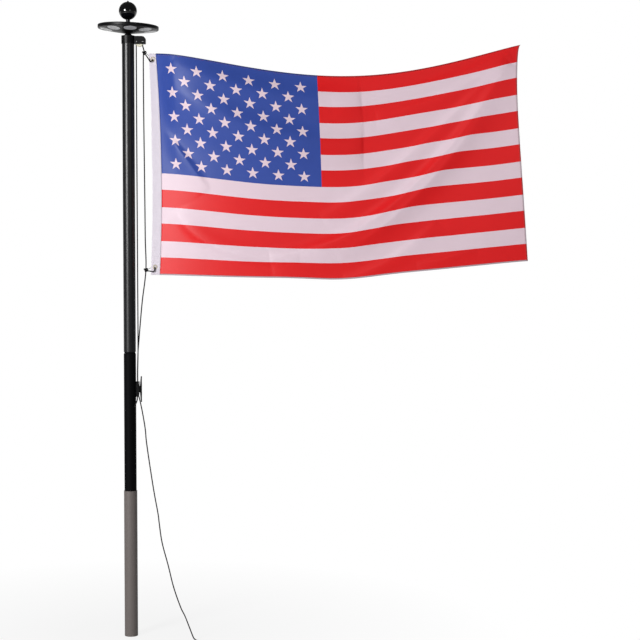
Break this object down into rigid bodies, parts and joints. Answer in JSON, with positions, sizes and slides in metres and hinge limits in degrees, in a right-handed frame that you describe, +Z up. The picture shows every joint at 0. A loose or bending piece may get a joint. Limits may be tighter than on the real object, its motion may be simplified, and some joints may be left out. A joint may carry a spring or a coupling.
{
  "type": "garden flagpole with halyard, flag and solar light",
  "caption": "Sectional tube flagpole in a ground sleeve, with a sheave truck, cleat, halyard, hung flag, round solar light and ball finial.",
  "frame": {"origin": "centre of the ground sleeve's flat foot", "axes": "+Z up along the pole, +X from the pole towards the flag's fly end, +Y to the back"},
  "size_m": [1.7563, 0.2998, 2.6141],
  "materials": {
    "black_tube": "satin powder coat",
    "grey_pvc": "extruded, satin",
    "black_abs": "moulded, satin",
    "bright_steel": "bright",
    "dark_steel": "black oxide",
    "cream_nylon": "moulded",
    "gloss_ball": "gloss",
    "light_shell": "moulded, satin",
    "lens": "frosted",
    "led_board": "matt",
    "solar_cell": "laminated gloss",
    "black_rope": "braided polyester",
    "black_hook": "black coated wire",
    "grey_wire": "bare wire",
    "brass": "pressed brass",
    "white_header": "woven polyester tape",
    "printed_cloth": "printed knitted polyester",
    "black_cleat": "moulded"
  },
  "bodies": {
    "pole": {"ground_sleeve": "grey_pvc", "lower_section": "black_tube", "upper_section": "black_tube", "truck_body": "black_abs", "truck_rivets": "bright_steel", "sheave_pin": "dark_steel", "light_housing": "light_shell", "light_cover": "light_shell", "light_board": "led_board", "light_lens_1": "lens", "light_lens_2": "lens", "light_lens_3": "lens", "light_lens_4": "lens", "light_lens_5": "lens", "light_lens_6": "lens", "light_lens_7": "lens", "light_lens_8": "lens", "solar_cell_1": "solar_cell", "solar_cell_2": "solar_cell", "solar_cell_3": "solar_cell", "solar_cell_4": "solar_cell", "solar_cell_5": "solar_cell", "solar_cell_6": "solar_cell", "finial_washer": "bright_steel", "finial_stem": "dark_steel", "finial_ball": "gloss_ball", "finial_tip": "black_abs", "halyard_over_sheave": "black_rope", "halyard_left_fall": "black_rope", "halyard_right_fall": "black_rope", "halyard_wraps": "black_rope", "knot_upper": "black_rope", "knot_lower": "black_rope", "snap_hook_upper": "black_hook", "snap_hook_lower": "black_hook", "snap_gate_upper": "grey_wire", "snap_gate_lower": "grey_wire", "grommet_upper": "brass", "grommet_lower": "brass", "flag_header": "white_header", "flag_cloth": "printed_cloth", "cleat": "black_cleat", "cleat_screws": "bright_steel", "halyard_tail": "black_rope", "halyard_coil": "black_rope", "tail_knot": "black_rope"},
    "sheave": {"sheave": "cream_nylon"}
  },
  "joints": [
    {"name": "sheave_spin", "type": "hinge", "parent": "pole", "child": "sheave", "pos_m": [0.046, 0, 2.441], "axis": [0, 1, 0], "continuous": true}
  ]
}
